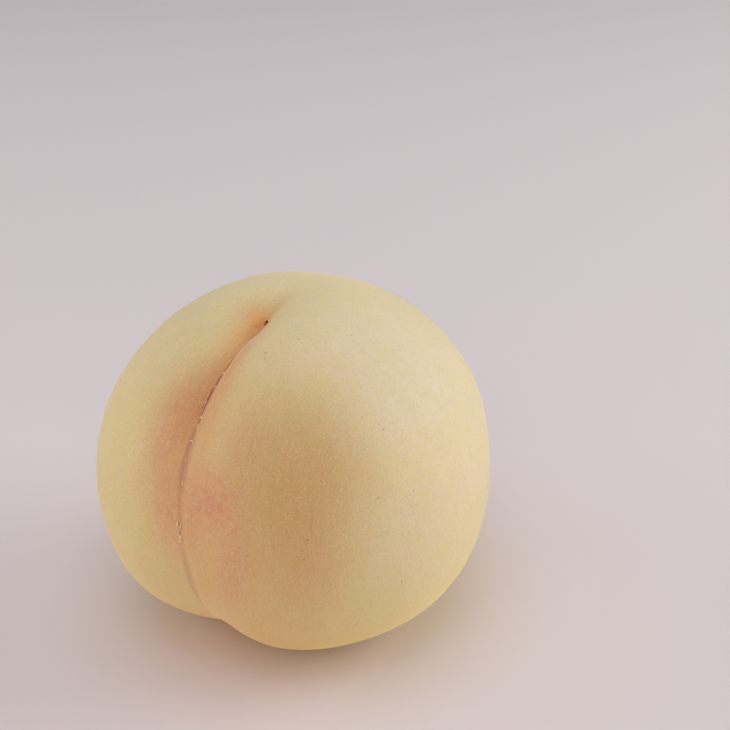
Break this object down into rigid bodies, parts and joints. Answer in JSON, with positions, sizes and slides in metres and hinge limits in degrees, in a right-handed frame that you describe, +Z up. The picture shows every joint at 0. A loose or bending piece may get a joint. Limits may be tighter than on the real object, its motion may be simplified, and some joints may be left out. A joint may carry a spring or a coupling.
{
  "type": "peach",
  "caption": "Whole ripe peach that stands stem end down on its shoulders, with a suture running down its front from a dimpled apex.",
  "frame": {"origin": "on the surface the fruit stands on, below the middle of its bounding box", "axes": "+Z up from the stem end, which is underneath, toward the apex; -Y toward the side with the suture; +X toward the fuller lobe"},
  "size_m": [0.0828, 0.0872, 0.0706],
  "materials": {
    "skin": "pale yellow-cream skin with short velvety fuzz, blushed orange-pink along the suture"
  },
  "bodies": {
    "root": {"peach": "skin"}
  },
  "joints": []
}
